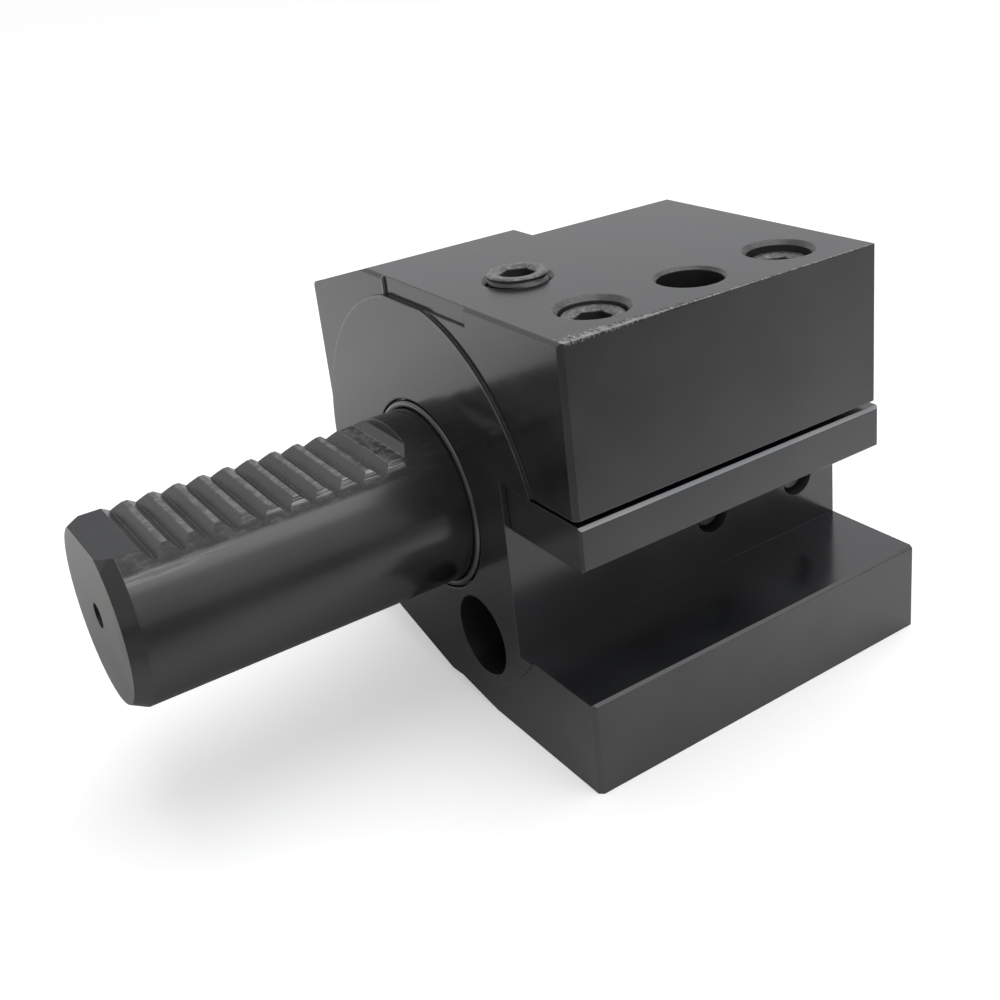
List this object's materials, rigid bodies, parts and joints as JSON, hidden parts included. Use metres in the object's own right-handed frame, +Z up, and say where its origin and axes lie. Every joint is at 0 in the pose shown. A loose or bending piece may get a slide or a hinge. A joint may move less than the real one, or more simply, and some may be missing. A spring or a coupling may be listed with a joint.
{
  "type": "vdi tool holder",
  "caption": "Toothed round-shank tool holder with a contact flange and an open side slot, where a bar pressed by top screws clamps a square tool; coolant feeds a rear ball nozzle.",
  "frame": {"origin": "on the shank axis, in the plane of the flange contact face", "axes": "+Y into the body and away from the shank, +X to the open side of the slot, +Z up to the clamp screws and the teeth"},
  "size_m": [0.0772, 0.125, 0.0737],
  "materials": {
    "black_oxide_steel": "ground and black oxide, satin",
    "screw_steel": "black oxide",
    "spring_steel": "drawn wire",
    "seal_rubber": "smooth",
    "nozzle_brass": "turned",
    "ball_steel": "polished"
  },
  "bodies": {
    "holder": {"holder_body": "black_oxide_steel", "bar_spring": "spring_steel", "coolant_plug": "screw_steel", "shank_seal_ring": "seal_rubber", "side_screw_front": "screw_steel", "side_screw_rear": "screw_steel", "nozzle_bush": "nozzle_brass"},
    "bar": {"clamp_bar": "black_oxide_steel", "bar_carrier_screw": "screw_steel"},
    "front_screw": {"clamp_screw_front": "screw_steel"},
    "rear_screw": {"clamp_screw_rear": "screw_steel"},
    "nozzle": {"nozzle_ball": "ball_steel"}
  },
  "joints": [
    {"name": "bar_slide", "type": "slide", "parent": "holder", "child": "bar", "axis": [0, 0, 1], "range_m": [-0.004, 0.001], "deforming": ["bar_spring"]},
    {"name": "front_screw_travel", "type": "slide", "parent": "holder", "child": "front_screw", "axis": [0, 0, 1], "range_m": [-0.004, 0.001]},
    {"name": "rear_screw_travel", "type": "slide", "parent": "holder", "child": "rear_screw", "axis": [0, 0, 1], "range_m": [-0.004, 0.001]},
    {"name": "nozzle_swivel", "type": "hinge", "parent": "holder", "child": "nozzle", "pos_m": [0.013, 0.0658, -0.0215], "axis": [0, 0, 1], "range_deg": [-15, 15]}
  ],
  "couplings": [
    {"joint": "front_screw_travel", "follows": "bar_slide", "ratio": 1},
    {"joint": "rear_screw_travel", "follows": "bar_slide", "ratio": 1}
  ]
}
